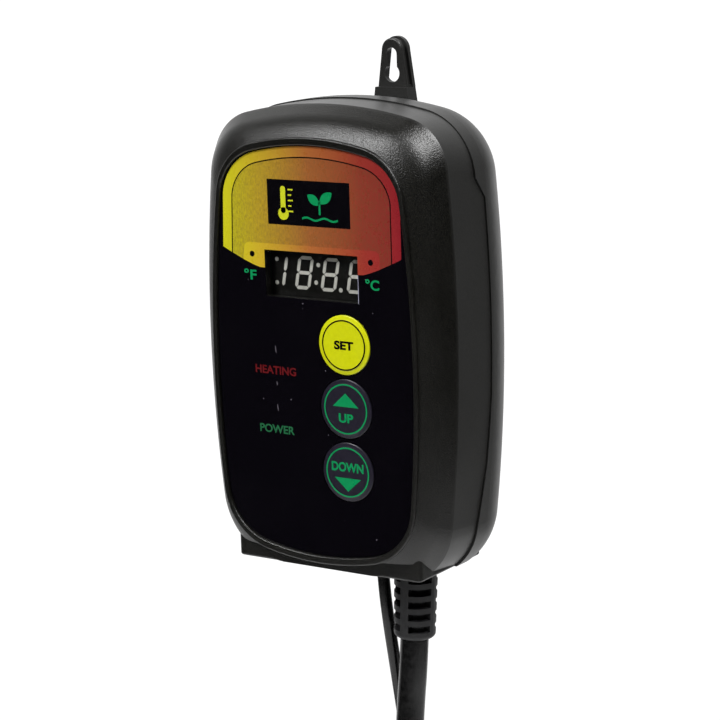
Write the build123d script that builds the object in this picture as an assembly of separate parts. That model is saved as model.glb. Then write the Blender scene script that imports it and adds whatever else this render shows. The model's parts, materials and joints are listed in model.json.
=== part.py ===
from build123d import *

import os
from dataclasses import astuple, dataclass, replace
from math import cos, radians, sin, sqrt, tan

# Wall-hung digital thermostat for a seedling heat mat, in millimetres.
#
# The case is drawn in its face frame: +X to the viewer's right, +Y back from the label's face,
# +Z up from the centre of the middle (UP) button.  keep() moves each case piece into the row frame,
# whose origin is the middle of the hanging hole.  The cords are drawn in the row frame itself.

# ---- driving dimensions: the case, face frame ----
WALL = 2.2
LABEL_THICK = 0.25
RIM_PROUD = 0.9            # the bead around the label stands this far in front of the label
CREASE_Y = 9.4             # edge between the sloping shoulder and the side band
PARTING_Y = 20.9           # joint between the shells at the top, the bottom and the corners
PARTING_SIDE_Y = 24.8      # the same joint along the straight sides
ROUND_Y = 26.0             # the back shell starts to round over here
BACK_ROUND = 20.0
BACK_Y = ROUND_Y + BACK_ROUND
FOOT_Z = -46.3             # flat bottom of the case
FOOT_HALF = 29.9
FOOT_FRONT, FOOT_BACK = 2.9, 34.7
FOOT_FACE_TOP = -41.2      # the shoulder is cut back to the foot's face below this
SHELL_STEP = 0.3           # the back shell's edge stands proud of the front shell's by this much
SHELL_GAP = 0.25
LIP = 2.2                  # depth of the tongue where the shells locate in each other

# ---- hanging tab, face frame ----
TAB_FRONT, TAB_WEB_BACK = 42.05, 43.75
TAB_RIM_BACK = 46.0
HOLE_Z = 85.0
HOLE_R = 2.45
SLOT_HALF = 1.7
SLOT_TOP = 92.0
TAB_TOP = 94.6

# ---- controls and display, face frame ----
WINDOW = (29.8, 12.6)      # clear window, width and height
WINDOW_Z = 35.0
DISPLAY_FACE_Y = 3.3
DISPLAY = (30.2, 14.0, 6.7)
DISPLAY_Z = 35.2
DIGIT_PITCH, DIGIT_HEIGHT, DIGIT_WIDTH, BAR = 8.33, 9.1, 5.0, 0.95
DIGIT_SLANT = tan(radians(10.5))
FIRST_DIGIT_X = -12.75
BUTTON_X = 9.96
BUTTON_PITCH = 17.3
BUTTON_R = 8.05
BUTTON_PLATEAU_R = 6.95
BUTTON_HOLE_R = 8.35
BUTTON_PROUD = 0.4
STATUS_X, HEATING_Z, POWER_Z = -12.25, 14.4, -1.75
UNIT_X, UNIT_Z = 19.03, 39.95

# ---- boards, face frame ----
BOARD = 1.6
CONTROL_Y, CONTROL_HALF, CONTROL_LOW, CONTROL_HIGH = 10.0, 23.0, -35.0, 66.0
POWER_Y, POWER_HALF, POWER_LOW, POWER_HIGH = 29.0, 30.0, -22.0, 50.0
CONTROL_SCREWS = [(x, z) for x in (-20.5, 20.5) for z in (-31.5, 62.0)]
POWER_SCREWS = [(x, z) for x in (-26.5, 26.5) for z in (-18.5, 46.5)]
CASE_SCREWS = [(x, z) for x in (-27.0, 27.0) for z in (-30.0, 58.0)]
CLAMP_SCREWS = [(10.3, -38.5), (24.3, -38.5)]

# ---- cords: exits in the face frame, routes in the row frame ----
CORD_R = 3.95
PROBE_R = 1.75
RELIEF = (17.3, 20.9)      # x, y of the mains strain relief
RELIEF_R, RELIEF_END_R, RELIEF_LONG, RELIEF_LEAN = 6.1, 5.8, 21.2, 3.0
RELIEF_ROWS, RELIEF_PITCH, RELIEF_SLOT, RELIEF_FIRST = 5, 3.58, 2.0, 3.6
GROMMET = (6.1, 20.9)

MAINS_ROUTE = [
    (16.2, -22.0, -152.56), (15.5, -22.0, -162.5), (14.4, -22.1, -172.5), (13.7, -22.6, -185.0),
    (15.4, -23.6, -199.5), (20.0, -24.8, -213.5), (25.3, -25.6, -227.0), (29.2, -25.9, -240.0),
]
MAINS_COIL = (-22.0, -21.9, -249.0)
MAINS_TURN_R, MAINS_LAYERS, MAINS_RINGS = 44.0, 2, 3
MAINS_TAIL = [
    (30.0, -17.9, -258.0), (30.5, -17.9, -268.0), (30.3, -18.0, -279.0), (30.0, -17.9, -289.0),
    (30.0, -17.9, -297.0),
]
PROBE_ROUTE = [
    (6.1, -22.0, -132.36), (6.3, -21.6, -141.0), (6.7, -20.4, -151.5), (6.9, -18.4, -162.5),
    (6.6, -15.6, -174.0), (6.0, -12.4, -186.0), (4.8, -9.6, -198.5), (2.8, -7.8, -212.0),
    (0.2, -7.2, -226.0), (-3.0, -7.2, -241.0), (-6.2, -7.5, -257.0), (-9.2, -7.8, -273.0),
    (-12.0, -8.1, -289.0), (-14.2, -8.4, -304.0), (-15.8, -8.7, -318.0), (-16.8, -8.8, -330.0),
]
PROBE_COIL = (-40.0, -14.05, -334.0)
PROBE_TURN_R, PROBE_LAYERS, PROBE_RINGS = 20.0, 4, 3
PROBE_TAIL = [
    (-16.5, -19.3, -338.0), (-16.3, -19.3, -343.0), (-16.5, -19.3, -348.5), (-16.5, -19.3, -353.0),
]
PLUG_TOP_Z, PLUG_LONG, PLUG_WIDE, PLUG_DEEP = -316.0, 44.0, 34.0, 28.0
BLADE_LONG, BLADE_WIDE, BLADE_THICK, BLADE_SPACING = 17.5, 6.3, 1.5, 12.7
GROUND_R, GROUND_LONG, GROUND_DROP = 2.4, 20.5, 11.9
TIP_R, TIP_LONG, SLEEVE_R, SLEEVE_LONG = 2.5, 25.0, 2.3, 9.0

ROW = Pos(0, -(TAB_FRONT + TAB_WEB_BACK) / 2, -HOLE_Z)


# ---- helpers ----
def keep(name, shape):
    """Write one node that is already in the row frame."""
    export_step(shape, f"parts/{name}.step")


def keep_case(name, shape):
    """Move a piece from the face frame into the row frame and write it."""
    keep(name, ROW * shape)


def group(shapes):
    """Separate solids of one node."""
    return Compound(children=[solid for shape in shapes for solid in shape.solids()])


def facing(sketch, depth):
    """Stand a drawing (x, z) up at a depth behind the label's face."""
    return Plane.XZ.offset(-depth) * sketch


def slab(sketch, front, back):
    """A drawing (x, z) as a solid between two depths."""
    return extrude(facing(sketch, front), amount=back - front, dir=(0, 1, 0))


def block(x0, x1, y0, y1, z0, z1):
    centre = Pos((x0 + x1) / 2, (y0 + y1) / 2, (z0 + z1) / 2)
    return centre * Box(x1 - x0, y1 - y0, z1 - z0)


def along_y(x, z, radius, front, back):
    """A round bar that runs front to back."""
    return slab(Pos(x, z) * Circle(radius), front, back)


def along_z(x, y, radius, low, high):
    return Pos(x, y, (low + high) / 2) * Cylinder(radius, high - low)


def frame_at(x, z, width, height, corner, front, back):
    """A slab with round corners, centred on (x, z)."""
    return slab(Pos(x, z) * RectangleRounded(width, height, corner), front, back)


def joined(shapes):
    first, *rest = shapes
    return first.fuse(*rest) if rest else first


# ---- the case's outline at any depth ----
@dataclass(frozen=True)
class Outline:
    """Two shallow arches and two bowed sides, joined by round corners, all tangent."""
    half_width: float
    top: float
    bottom: float
    top_corner: float
    bottom_corner: float
    arch: float
    side: float
    side_mid: float
    smallest_corner: float = 3.0

    def inset(self, distance):
        return replace(
            self,
            half_width=self.half_width - distance,
            top=self.top - distance,
            bottom=self.bottom + distance,
            top_corner=max(self.top_corner - distance, self.smallest_corner),
            bottom_corner=max(self.bottom_corner - distance, self.smallest_corner),
            arch=self.arch - distance,
            side=self.side - distance,
        )

    def sketch(self):
        top_centre = Vector(0, self.top - self.arch)
        bottom_centre = Vector(0, self.bottom + self.arch)
        side_centre = Vector(self.half_width - self.side, self.side_mid)
        upper = circles_meet(side_centre, self.side - self.top_corner,
                             top_centre, self.arch - self.top_corner, +1)
        lower = circles_meet(side_centre, self.side - self.bottom_corner,
                             bottom_centre, self.arch - self.bottom_corner, -1)
        arch_end = top_centre + (upper - top_centre).normalized() * self.arch
        side_high = side_centre + (upper - side_centre).normalized() * self.side
        side_low = side_centre + (lower - side_centre).normalized() * self.side
        foot_end = bottom_centre + (lower - bottom_centre).normalized() * self.arch
        right = [
            (arch_end, arc_middle(upper, arch_end, side_high), side_high),
            (side_high, Vector(self.half_width, self.side_mid), side_low),
            (side_low, arc_middle(lower, side_low, foot_end), foot_end),
        ]
        left = [tuple(Vector(-p.X, p.Y) for p in reversed(arc)) for arc in reversed(right)]
        arcs = (
            [(left[-1][2], Vector(0, self.top), arch_end)]
            + right
            + [(foot_end, Vector(0, self.bottom), left[0][0])]
            + left
        )
        return make_face([ThreePointArc(*arc) for arc in arcs])


def circles_meet(centre_a, radius_a, centre_b, radius_b, side):
    """Where two circles cross, on the upper (+1) or lower (-1) right."""
    apart = centre_b - centre_a
    gap = apart.length
    reach = (radius_a**2 - radius_b**2 + gap**2) / (2 * gap)
    half_chord = sqrt(max(radius_a**2 - reach**2, 0))
    ahead = apart.normalized()
    across = Vector(-ahead.Y, ahead.X)
    foot = centre_a + ahead * reach
    return max((foot + across * half_chord, foot - across * half_chord),
               key=lambda p: p.X + side * p.Y)


def arc_middle(centre, start, end):
    towards = ((start - centre) + (end - centre)).normalized()
    return centre + towards * (start - centre).length


LABEL = Outline(31.6, 69.9, -41.7, 14.0, 16.0, 78.0, 350.0, 10.0)
RIM = replace(LABEL.inset(-1.4), top=72.0, bottom=-43.8, top_corner=15.8, bottom_corner=17.8)
CREASE = Outline(39.55, 79.9, -50.7, 14.8, 18.9, 115.6, 455.0, 20.7)
SEAM = Outline(40.5, 80.5, -52.0, 19.0, 18.5, 115.6, 455.0, 20.7)
# Depth and share of the way from the rim's outline to the crease's: round at first, then straight.
SHOULDER_STEPS = ((0.0, 0.0), (1.2, 0.267), (2.4, 0.458), (3.7, 0.603), (5.2, 0.72), (CREASE_Y, 1.0))


def shoulder_outline(depth):
    for (y0, share0), (y1, share1) in zip(SHOULDER_STEPS, SHOULDER_STEPS[1:]):
        if depth <= y1:
            share = share0 + (share1 - share0) * (depth - y0) / (y1 - y0)
            return Outline(*(a + (b - a) * share for a, b in zip(astuple(RIM), astuple(CREASE))))
    raise ValueError("deeper than the crease")


def front_body(inset, face_y):
    """Shoulder and side band, from the rim back to just behind the parting line."""
    depths = [face_y] + [y for y, _ in SHOULDER_STEPS if y > face_y + 0.5]
    sections = [facing(shoulder_outline(y).inset(inset).sketch(), y) for y in depths]
    shoulder = loft(sections[:-1]) + loft(sections[-2:])
    band = loft([
        facing(CREASE.inset(inset).sketch(), CREASE_Y),
        facing(SEAM.inset(inset + SHELL_STEP).sketch(), ROUND_Y),
    ])
    return shoulder + band


def rim_bead():
    """The bead around the label, with round edges."""
    ring = slab(RIM.sketch(), -RIM_PROUD, 0.5) - slab(LABEL.sketch(), -RIM_PROUD - 1, 1)
    return fillet(ring.faces().sort_by(Axis.Y)[0].edges(), 0.45)


def shrunk_seam(distance):
    """The back shell's outline moved inwards; its corners tighten more slowly than a true offset."""
    return replace(
        SEAM.inset(distance),
        top_corner=SEAM.top_corner - 0.72 * distance,
        bottom_corner=SEAM.bottom_corner - 0.72 * distance,
    )


def back_body(inset):
    """The back shell's bowl: a short straight band, then a large round to the flat back."""
    radius = BACK_ROUND - inset
    sections = []
    for step in range(7):
        angle = radians(15 * step)
        outline = shrunk_seam(inset + radius * (1 - cos(angle)))
        sections.append(facing(outline.sketch(), ROUND_Y + radius * sin(angle)))
    band = slab(shrunk_seam(inset).sketch(), PARTING_Y - LIP, ROUND_Y)
    return band + loft(sections)


def foot_block():
    """Flat foot that squares off the case's round lower corners."""
    wide, deep = 2 * FOOT_HALF, FOOT_BACK - FOOT_FRONT
    plan = Pos(0, (FOOT_FRONT + FOOT_BACK) / 2) * RectangleRounded(wide, deep, 1.6)
    foot = extrude(Plane.XY.offset(FOOT_Z) * plan, amount=16.0)
    return fillet(foot.faces().sort_by(Axis.Z)[0].edges(), 0.7)


def under_rim(grow):
    """The space between the label's rim and the foot's face, or with the wall round it."""
    half, depth, top = FOOT_HALF + grow, FOOT_FRONT + grow, FOOT_FACE_TOP + grow
    return block(-half, half, -5, depth, -60, top) - slab(RIM.inset(grow).sketch(), -6, 60)


def behind_parting(shift=0.0):
    """All the space behind the stepped parting line, seen from the side and moved back by shift."""
    far_back, far_up, far_down = 80.0, 140.0, -120.0
    profile = Polyline(
        (PARTING_Y + shift, far_up), (PARTING_Y + shift, 60.5), (PARTING_SIDE_Y + shift, 55.0),
        (PARTING_SIDE_Y + shift, 2.0), (PARTING_SIDE_Y - 1.2 + shift, -17.0),
        (PARTING_Y + shift, -34.0), (PARTING_Y + shift, far_down),
        (far_back, far_down), (far_back, far_up), close=True)
    return extrude(Plane.YZ * make_face(profile), amount=60.0, both=True)


def above(z):
    return block(-80, 80, -40, 90, z, 160)


def split_parting_ring(outer, inner, shift_front, shift_back):
    """A ring that follows the parting line, for the tongue and its rebate."""
    ring = slab(SEAM.inset(outer).sketch(), 10, 40) - slab(SEAM.inset(inner).sketch(), 10, 40)
    return (ring & behind_parting(shift_front)) - behind_parting(shift_back)


def button_places():
    return {"set": BUTTON_PITCH, "up": 0.0, "down": -BUTTON_PITCH}


def cord_holes():
    """The two exits through the foot, which the shells share along the parting line."""
    mains = along_z(*RELIEF, 5.2, FOOT_Z - 1, FOOT_Z + WALL + 1)
    probe = along_z(*GROMMET, 3.0, FOOT_Z - 1, FOOT_Z + WALL + 1)
    return mains + probe


# ---- shells ----
def front_shell():
    shell = (front_body(0.0, 0.0) & above(FOOT_Z)) + foot_block()
    cavity = front_body(WALL, LABEL_THICK + WALL) & above(FOOT_Z + WALL)
    cavity -= under_rim(WALL)
    shell = shell - cavity - under_rim(0.0)
    shell -= slab(LABEL.sketch(), -RIM_PROUD - 1, LABEL_THICK)
    shell += rim_bead()
    shell -= behind_parting()
    shell -= split_parting_ring(1.05, WALL + 0.6, -LIP - 0.3, 0.5)
    inner_face = LABEL_THICK + WALL
    for x, z in CASE_SCREWS:
        shell += along_y(x, z, 3.4, inner_face - 0.6, PARTING_Y)
        shell -= along_y(x, z, 1.5, PARTING_Y - 15.0, PARTING_Y + 1)
    for x, z in CONTROL_SCREWS:
        shell += along_y(x, z, 2.4, inner_face - 0.6, CONTROL_Y)
        shell -= along_y(x, z, 0.98, CONTROL_Y - 6.0, CONTROL_Y + 1)
    for x, z in CLAMP_SCREWS:
        shell += along_y(x, z, 2.4, inner_face - 0.6, RELIEF[1] + CORD_R + 0.3)
        shell -= along_y(x, z, 0.98, RELIEF[1] - 3.0, RELIEF[1] + 10)
    shell -= frame_at(0, WINDOW_Z, *WINDOW, 0.4, -1, inner_face + 1)
    for z in button_places().values():
        shell -= along_y(BUTTON_X, z, BUTTON_HOLE_R, -1, inner_face + 1)
    for x, z, radius in led_places():
        shell -= along_y(x, z, radius + 0.15, -1, inner_face + 1)
    return shell - cord_holes()


def back_shell():
    outer = (back_body(0.0) & above(FOOT_Z)) + foot_block()
    shell = (outer & behind_parting(SHELL_GAP)) - (back_body(WALL) & above(FOOT_Z + WALL))
    tongue = split_parting_ring(1.3, WALL, -LIP, 1.0) & above(FOOT_Z + 3.0)
    shell += tongue
    for x, z in CASE_SCREWS:
        shell += along_y(x, z, 4.8, PARTING_Y, BACK_Y - 1.0) & back_body(0.2)
        shell -= along_y(x, z, 3.3, 31.0, BACK_Y + 1)
        shell -= along_y(x, z, 1.7, PARTING_Y - 1, 32.0)
    for x, z in POWER_SCREWS:
        shell += along_y(x, z, 3.0, POWER_Y + BOARD, BACK_Y - 1.0) & back_body(0.2)
        shell -= along_y(x, z, 0.98, POWER_Y + BOARD - 1, POWER_Y + BOARD + 6.5)
    return shell - cord_holes() - hanging_tab_blank(0.0)


# ---- hanging tab ----
def tab_outline(grow=0.0):
    """Round top on sides that spread towards the case."""
    top_r = 3.3 + grow
    top_centre = TAB_TOP + grow - top_r
    low, low_half = 66.0, 6.9 + grow
    return make_face([
        ThreePointArc((-top_r, top_centre), (0, TAB_TOP + grow), (top_r, top_centre)),
        Line((top_r, top_centre), (low_half, low)),
        Line((low_half, low), (-low_half, low)),
        Line((-low_half, low), (-top_r, top_centre)),
    ])


def hanging_tab_blank(grow):
    base = slab(tab_outline(grow + 0.35), TAB_FRONT - 0.8, BACK_Y) & block(-9, 9, 0, 60, 66, 81.2)
    root = slab(tab_outline(grow), TAB_FRONT, BACK_Y) & block(-9, 9, 0, 60, 66, 81.2)
    plate = slab(tab_outline(grow), TAB_FRONT, TAB_RIM_BACK)
    return base + root + fillet(plate.faces().sort_by(Axis.Y)[0].edges(), 0.5)


def hanging_tab():
    """Keyhole plate at the front of a rim that reaches back to the wall."""
    tab = hanging_tab_blank(0.0)
    tab += slab(tab_outline(0.4), TAB_WEB_BACK + 0.9, TAB_RIM_BACK) & block(-20, 20, 0, 60, 81.2, 120)
    groove = slab(tab_outline(1.0), TAB_WEB_BACK - 0.5, TAB_WEB_BACK + 0.9)
    groove -= slab(tab_outline(-0.5), TAB_WEB_BACK - 0.6, TAB_WEB_BACK + 1.0)
    tab -= groove & block(-20, 20, 0, 60, 81.8, 120)
    pocket = slab(tab_outline(-0.95), TAB_WEB_BACK, BACK_Y + 1)
    tab -= pocket & block(-20, 20, 0, 60, 80.5, 120)
    slot_centre = SLOT_TOP - SLOT_HALF
    slot = Pos(0, (HOLE_Z + slot_centre) / 2) * Rectangle(2 * SLOT_HALF, slot_centre - HOLE_Z)
    keyhole = Pos(0, HOLE_Z) * Circle(HOLE_R) + slot + Pos(0, slot_centre) * Circle(SLOT_HALF)
    return tab - slab(keyhole, TAB_FRONT - 1, BACK_Y + 1)


# ---- front: label, window, display ----
def front_label():
    label = slab(LABEL.inset(0.15).sketch(), 0, LABEL_THICK)
    label -= frame_at(0, WINDOW_Z, *WINDOW, 0.4, -1, 1)
    for z in button_places().values():
        label -= along_y(BUTTON_X, z, BUTTON_HOLE_R, -1, 1)
    for x in (-UNIT_X, UNIT_X):
        label -= along_y(x, UNIT_Z, 0.8, -1, 1)
    return label


def display_window():
    return frame_at(0, WINDOW_Z, WINDOW[0] - 0.1, WINDOW[1] - 0.1, 0.35, 0.05, 1.5)


def slanted(points):
    return [(x + DIGIT_SLANT * (z - DISPLAY_Z), z) for x, z in points]


def bar_outline(x0, z0, x1, z1):
    """One display bar with pointed ends, between two corners of a digit."""
    start, end = Vector(x0, z0), Vector(x1, z1)
    ahead = (end - start).normalized()
    across = Vector(-ahead.Y, ahead.X) * (BAR / 2)
    tip, neck = ahead * 0.12, ahead * (0.12 + BAR / 2)
    corners = [start + tip, start + neck + across, end - neck + across,
               end - tip, end - neck - across, start + neck - across]
    return make_face(Polyline(*slanted([(c.X, c.Y) for c in corners]), close=True))


def display_bars():
    """3.5 digits: a leading 1, three full digits, a colon, a point and two marks at the left."""
    half_w, half_h = (DIGIT_WIDTH - BAR) / 2, (DIGIT_HEIGHT - BAR) / 2
    low, mid, high = DISPLAY_Z - half_h, DISPLAY_Z, DISPLAY_Z + half_h
    outlines = []
    for digit in range(4):
        centre = FIRST_DIGIT_X + digit * DIGIT_PITCH
        left, right = centre - half_w, centre + half_w
        outlines += [bar_outline(right, low, right, mid), bar_outline(right, mid, right, high)]
        if digit:
            outlines += [bar_outline(left, low, left, mid), bar_outline(left, mid, left, high)]
            outlines += [bar_outline(left, z, right, z) for z in (low, mid, high)]
    dots = [(-13.9, 38.4), (-12.9, 32.0), (-0.25, 37.6), (-0.25, 32.8), (7.9, 31.3)]
    outlines += [Pos(*slanted([dot])[0]) * Circle(0.6) for dot in dots]
    return group([slab(outline, DISPLAY_FACE_Y - 0.05, DISPLAY_FACE_Y + 0.6) for outline in outlines])


def display_module():
    width, height, thick = DISPLAY
    body = frame_at(0, DISPLAY_Z, width, height, 0.3, DISPLAY_FACE_Y, DISPLAY_FACE_Y + thick)
    for bar in display_bars().solids():
        body -= bar
    return body


# ---- front: buttons, switches, lamps ----
def button_cap(z):
    """A raised disc with a bevel, two wings behind the wall and a stem for the switch."""
    profile = Polyline(
        (0, BUTTON_PROUD), (BUTTON_PLATEAU_R - 0.3, BUTTON_PROUD),
        (BUTTON_PLATEAU_R, BUTTON_PROUD - 0.1), (BUTTON_PLATEAU_R + 0.2, BUTTON_PROUD - 0.15),
        (BUTTON_R - 0.15, 0.12), (BUTTON_R, 0.0), (BUTTON_R, -3.85), (0, -3.85), close=True)
    disc = revolve(make_face(profile), Axis.Y)
    disc = Pos(BUTTON_X, 0, z) * Rot(0, 0, 180) * disc
    wings = frame_at(BUTTON_X, z, 19.4, 6.0, 1.0, 2.85, 3.85)
    stem = along_y(BUTTON_X, z, 2.0, 3.85, 5.0)
    return disc + wings + stem


def switch_plunger(z):
    return along_y(BUTTON_X, z, 1.7, 5.0, 7.3)


def switch_base(z):
    """Square tactile switch with four legs into the control board."""
    base = frame_at(BUTTON_X, z, 6.2, 6.2, 0.4, 6.5, CONTROL_Y)
    base -= along_y(BUTTON_X, z, 2.1, 6.0, 8.1)
    for dx in (-2.5, 2.5):
        for dz in (-2.5, 2.5):
            base += frame_at(BUTTON_X + dx, z + dz, 0.7, 0.7, 0.2, CONTROL_Y - 0.2, CONTROL_Y + BOARD + 1)
    return base


def led_places():
    """x, z and lens radius of the status lamps (3 mm) and the unit lamps (1.8 mm)."""
    return [(STATUS_X, HEATING_Z, 1.5), (STATUS_X, POWER_Z, 1.5),
            (-UNIT_X, UNIT_Z, 0.9), (UNIT_X, UNIT_Z, 0.9)]


def led(x, z, radius):
    lens = along_y(x, z, radius, 0.35 + radius, 7.0) + Pos(x, 0.35 + radius, z) * Sphere(radius)
    flange = along_y(x, z, radius + 0.4, 6.0, 7.0)
    return lens + flange


def led_legs(x, z):
    return [along_y(x + dx, z, 0.28, 7.0, CONTROL_Y + BOARD + 1) for dx in (-0.9, 0.9)]


def control_board():
    width, height = 2 * CONTROL_HALF, CONTROL_HIGH - CONTROL_LOW
    middle = (CONTROL_HIGH + CONTROL_LOW) / 2
    board = frame_at(0, middle, width, height, 1.0, CONTROL_Y, CONTROL_Y + BOARD)
    for x, z in CONTROL_SCREWS:
        board -= along_y(x, z, 1.25, CONTROL_Y - 1, CONTROL_Y + BOARD + 1)
    for z in button_places().values():
        for dx in (-2.5, 2.5):
            for dz in (-2.5, 2.5):
                board -= along_y(BUTTON_X + dx, z + dz, 0.5, CONTROL_Y - 1, CONTROL_Y + BOARD + 1)
    for x, z, _ in led_places():
        for dx in (-0.9, 0.9):
            board -= along_y(x + dx, z, 0.4, CONTROL_Y - 1, CONTROL_Y + BOARD + 1)
    return board


def controller_chip():
    """Surface-mount controller on the back of the control board."""
    face = CONTROL_Y + BOARD
    chip = frame_at(0, 20, 7.6, 18.0, 0.2, face + 0.15, face + 2.4)
    for row in range(14):
        z = 20 + (row - 6.5) * 1.27
        for side in (-1, 1):
            x = side * 4.5
            chip += block(x - 0.75, x + 0.75, face, face + 0.6, z - 0.2, z + 0.2)
    return chip


def screw(x, z, head_y, head_r, head_tall, shank_r, shank_long, towards=-1):
    """Pan-head screw along Y; its shank points towards the front (-1) or the back (+1)."""
    profile = Polyline(
        (0, head_tall), (head_r * 0.55, head_tall), (head_r * 0.9, head_tall * 0.7),
        (head_r, head_tall * 0.2), (head_r, 0), (shank_r, 0),
        (shank_r, -shank_long + shank_r), (0.1, -shank_long), (0, -shank_long), close=True)
    body = revolve(make_face(profile), Axis.Y)
    recess_wide = head_r * 1.1
    cross = Box(recess_wide, head_tall, 0.5) + Box(0.5, head_tall, recess_wide)
    body -= Pos(0, head_tall, 0) * cross
    turn = Rot(0, 0, 0) if towards < 0 else Rot(0, 0, 180)
    return Pos(x, head_y, z) * turn * body


# ---- inside the back shell ----
def power_board():
    width, height = 2 * POWER_HALF, POWER_HIGH - POWER_LOW
    board = frame_at(0, (POWER_HIGH + POWER_LOW) / 2, width, height, 1.0, POWER_Y, POWER_Y + BOARD)
    for x, z in POWER_SCREWS:
        board -= along_y(x, z, 1.25, POWER_Y - 1, POWER_Y + BOARD + 1)
    return board


def relay():
    return fillet(block(-22, -6.5, POWER_Y - 15.2, POWER_Y, 22, 41).edges().filter_by(Axis.Y), 0.6)


def transformer_core():
    """Laminated core: a window frame with a middle limb."""
    core = block(0, 28, POWER_Y - 13.5, POWER_Y - 0.5, 17, 41)
    for x in (3.5, 17.5):
        core -= block(x, x + 7, POWER_Y - 20, POWER_Y + 5, 21, 37)
    return core


def transformer_coil():
    """Winding on its bobbin, around the core's middle limb."""
    coil = block(3.9, 24.1, POWER_Y - 15.0, POWER_Y - 0.1, 21.3, 36.7)
    coil -= transformer_core()
    return coil - block(10.2, 17.8, POWER_Y - 13.8, POWER_Y - 0.2, 15, 42)


def supply_capacitors():
    """Two electrolytic cans, standing on the power board."""
    cans = []
    for x, z, radius, tall in ((-19.0, 8.0, 5.0, 13.0), (-8.0, 6.0, 4.0, 11.5)):
        can = along_y(x, z, radius, POWER_Y - tall, POWER_Y)
        cans.append(fillet(can.edges().filter_by(GeomType.CIRCLE), 0.5))
    return group(cans)


def film_capacitor():
    return fillet(block(2, 20, POWER_Y - 12, POWER_Y, 2, 9).edges().filter_by(Axis.Y), 0.8)


def surge_disc():
    """Varistor across the supply."""
    disc = Pos(24.5, POWER_Y - 7.5, 5.5) * Rot(0, 90, 0) * Cylinder(5.5, 4.0)
    disc = fillet(disc.edges(), 1.0)
    legs = [block(24.2, 24.8, POWER_Y - 3.5, POWER_Y, z - 0.3, z + 0.3) for z in (3.0, 8.0)]
    return joined([disc] + legs)


def fuse_tube():
    return Pos(-12, POWER_Y - 5.0, -6) * Rot(0, 90, 0) * Cylinder(2.55, 12.0)


def fuse_caps():
    caps = [Pos(x, POWER_Y - 5.0, -6) * Rot(0, 90, 0) * Cylinder(2.65, 5.0) for x in (-20.5, -3.5)]
    feet = [block(x - 1.5, x + 1.5, POWER_Y - 3.4, POWER_Y, -8, -4) for x in (-20.5, -3.5)]
    return group([cap + foot for cap, foot in zip(caps, feet)])


TERMINALS_X = [4.0, 9.0, 14.0, 19.0]


def terminal_block():
    """Four-way screw terminals; the wires enter from below."""
    body = block(1.2, 21.8, POWER_Y - 10, POWER_Y, -19, -10.5)
    for x in TERMINALS_X:
        body -= block(x - 1.8, x + 1.8, POWER_Y - 7.2, POWER_Y - 3.6, -20, -13)
        body -= along_y(x, -14.5, 1.9, POWER_Y - 11, POWER_Y - 7.0)
    return body


def terminal_screws():
    screws = [screw(x, -14.5, POWER_Y - 8.6, 1.6, 1.0, 0.8, 1.4, +1) for x in TERMINALS_X]
    return group(screws)


def link_sockets():
    """The two ends of the board-to-board ribbon."""
    rear = frame_at(-4, 58, 12.5, 5.0, 0.3, CONTROL_Y + BOARD, CONTROL_Y + BOARD + 5)
    front = frame_at(-4, 46, 12.5, 5.0, 0.3, POWER_Y - 5, POWER_Y)
    return group([rear, front])


def link_ribbon():
    """Flat ribbon that loops from the control board to the power board."""
    start, end = CONTROL_Y + BOARD + 5.5, POWER_Y - 5.5
    path = FilletPolyline((start, 58), (start + 4, 58), (end - 4, 46), (end, 46), radius=1.8)
    strip = make_face(offset(path, 0.45, side=Side.BOTH))
    return Pos(-10, 0, 0) * extrude(Plane.YZ * strip, amount=12.0)


def probe_socket():
    return frame_at(6.1, -31.0, 7.4, 5.0, 0.3, CONTROL_Y + BOARD, CONTROL_Y + BOARD + 4.5)


def bent_tube(route, radius, bend):
    """A tube along straight runs with round bends."""
    path = FilletPolyline(*route, radius=bend)
    start = Plane(origin=path @ 0, z_dir=path % 0)
    return sweep(start * Circle(radius), path=path)


def conductors():
    """Four insulated wires fan out from the mains cord to the terminals."""
    wires = []
    for x, (dx, dy) in zip(TERMINALS_X, ((-1.5, -1.5), (-1.5, 1.5), (1.5, 1.5), (1.5, -1.5))):
        start = Vector(RELIEF[0] + dx, RELIEF[1] + dy, STUB_TOP)
        entry = Vector(x, POWER_Y - 5.4, -13.2)
        route = [start, start + Vector(0, 0, 3.5), entry - Vector(0, 0, 8.5), entry]
        wires.append(bent_tube(route, 1.15, 1.5))
    return group(wires)


# ---- cord exits ----
STUB_TOP = -34.5


def strain_relief():
    """Flexible bush: inner flange, neck in the foot's wall and a slotted tapered sleeve below."""
    x, y = RELIEF
    flange = along_z(x, y, 6.9, FOOT_Z + WALL, FOOT_Z + WALL + 2.0)
    neck = along_z(x, y, 5.1, FOOT_Z - 0.6, FOOT_Z + WALL)
    sleeve = Pos(0, 0, -RELIEF_LONG / 2) * Cone(RELIEF_END_R, RELIEF_R, RELIEF_LONG)
    sleeve = fillet(sleeve.edges().sort_by(Axis.Z)[:1], 1.2)
    core = Cylinder(RELIEF_END_R - 1.7, 100)
    webs = Box(30, 2.5, 100) + Box(2.5, 30, 100)
    for row in range(RELIEF_ROWS):
        z = -RELIEF_FIRST - row * RELIEF_PITCH
        sleeve -= Pos(0, 0, z) * Cylinder(12, RELIEF_SLOT) - core - webs
    sleeve = Pos(x, y, FOOT_Z - 0.4) * Rot(0, RELIEF_LEAN, 0) * sleeve
    return flange + neck + sleeve


def probe_grommet():
    x, y = GROMMET
    grommet = along_z(x, y, 4.2, FOOT_Z + WALL, FOOT_Z + WALL + 1.4)
    grommet += along_z(x, y, 2.9, FOOT_Z, FOOT_Z + WALL)
    return grommet + along_z(x, y, 3.6, FOOT_Z - 1.0, FOOT_Z)


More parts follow.
